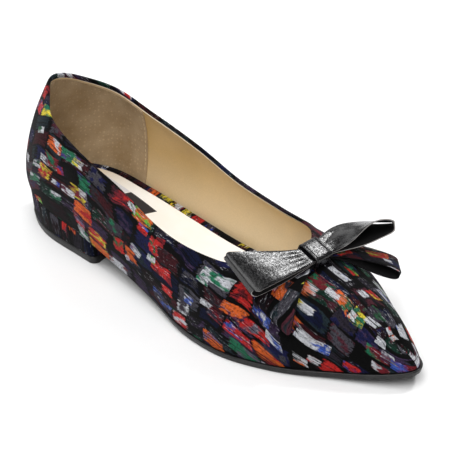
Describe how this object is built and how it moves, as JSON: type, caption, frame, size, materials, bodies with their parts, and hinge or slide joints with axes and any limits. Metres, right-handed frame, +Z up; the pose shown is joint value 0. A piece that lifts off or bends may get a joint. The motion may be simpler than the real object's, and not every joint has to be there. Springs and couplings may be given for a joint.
{
  "type": "ballet flat",
  "caption": "Pointed ballet flat for the right foot, with a printed suede upper open at the collar, a padded insole, a thin sole, a low block heel and a layered bow on the vamp.",
  "frame": {"origin": "on the floor, under the middle of the heel's top piece", "axes": "+X from heel to toe, +Y to the wearer's left, +Z up"},
  "size_m": [0.2598, 0.1005, 0.079],
  "materials": {
    "printed_suede": "black suede with a brushed many-coloured print, matt nap",
    "bow_leather": "black grained leather, semi gloss",
    "sock": "cream lining leather, satin",
    "sole": "black, satin"
  },
  "bodies": {
    "root": {"outsole": "sole", "upper": "printed_suede", "insole": "sock", "insole_band": "printed_suede", "heel": "printed_suede", "top_piece": "sole", "bow_print": "printed_suede", "bow_leather": "bow_leather", "bow_knot": "bow_leather"}
  },
  "joints": []
}
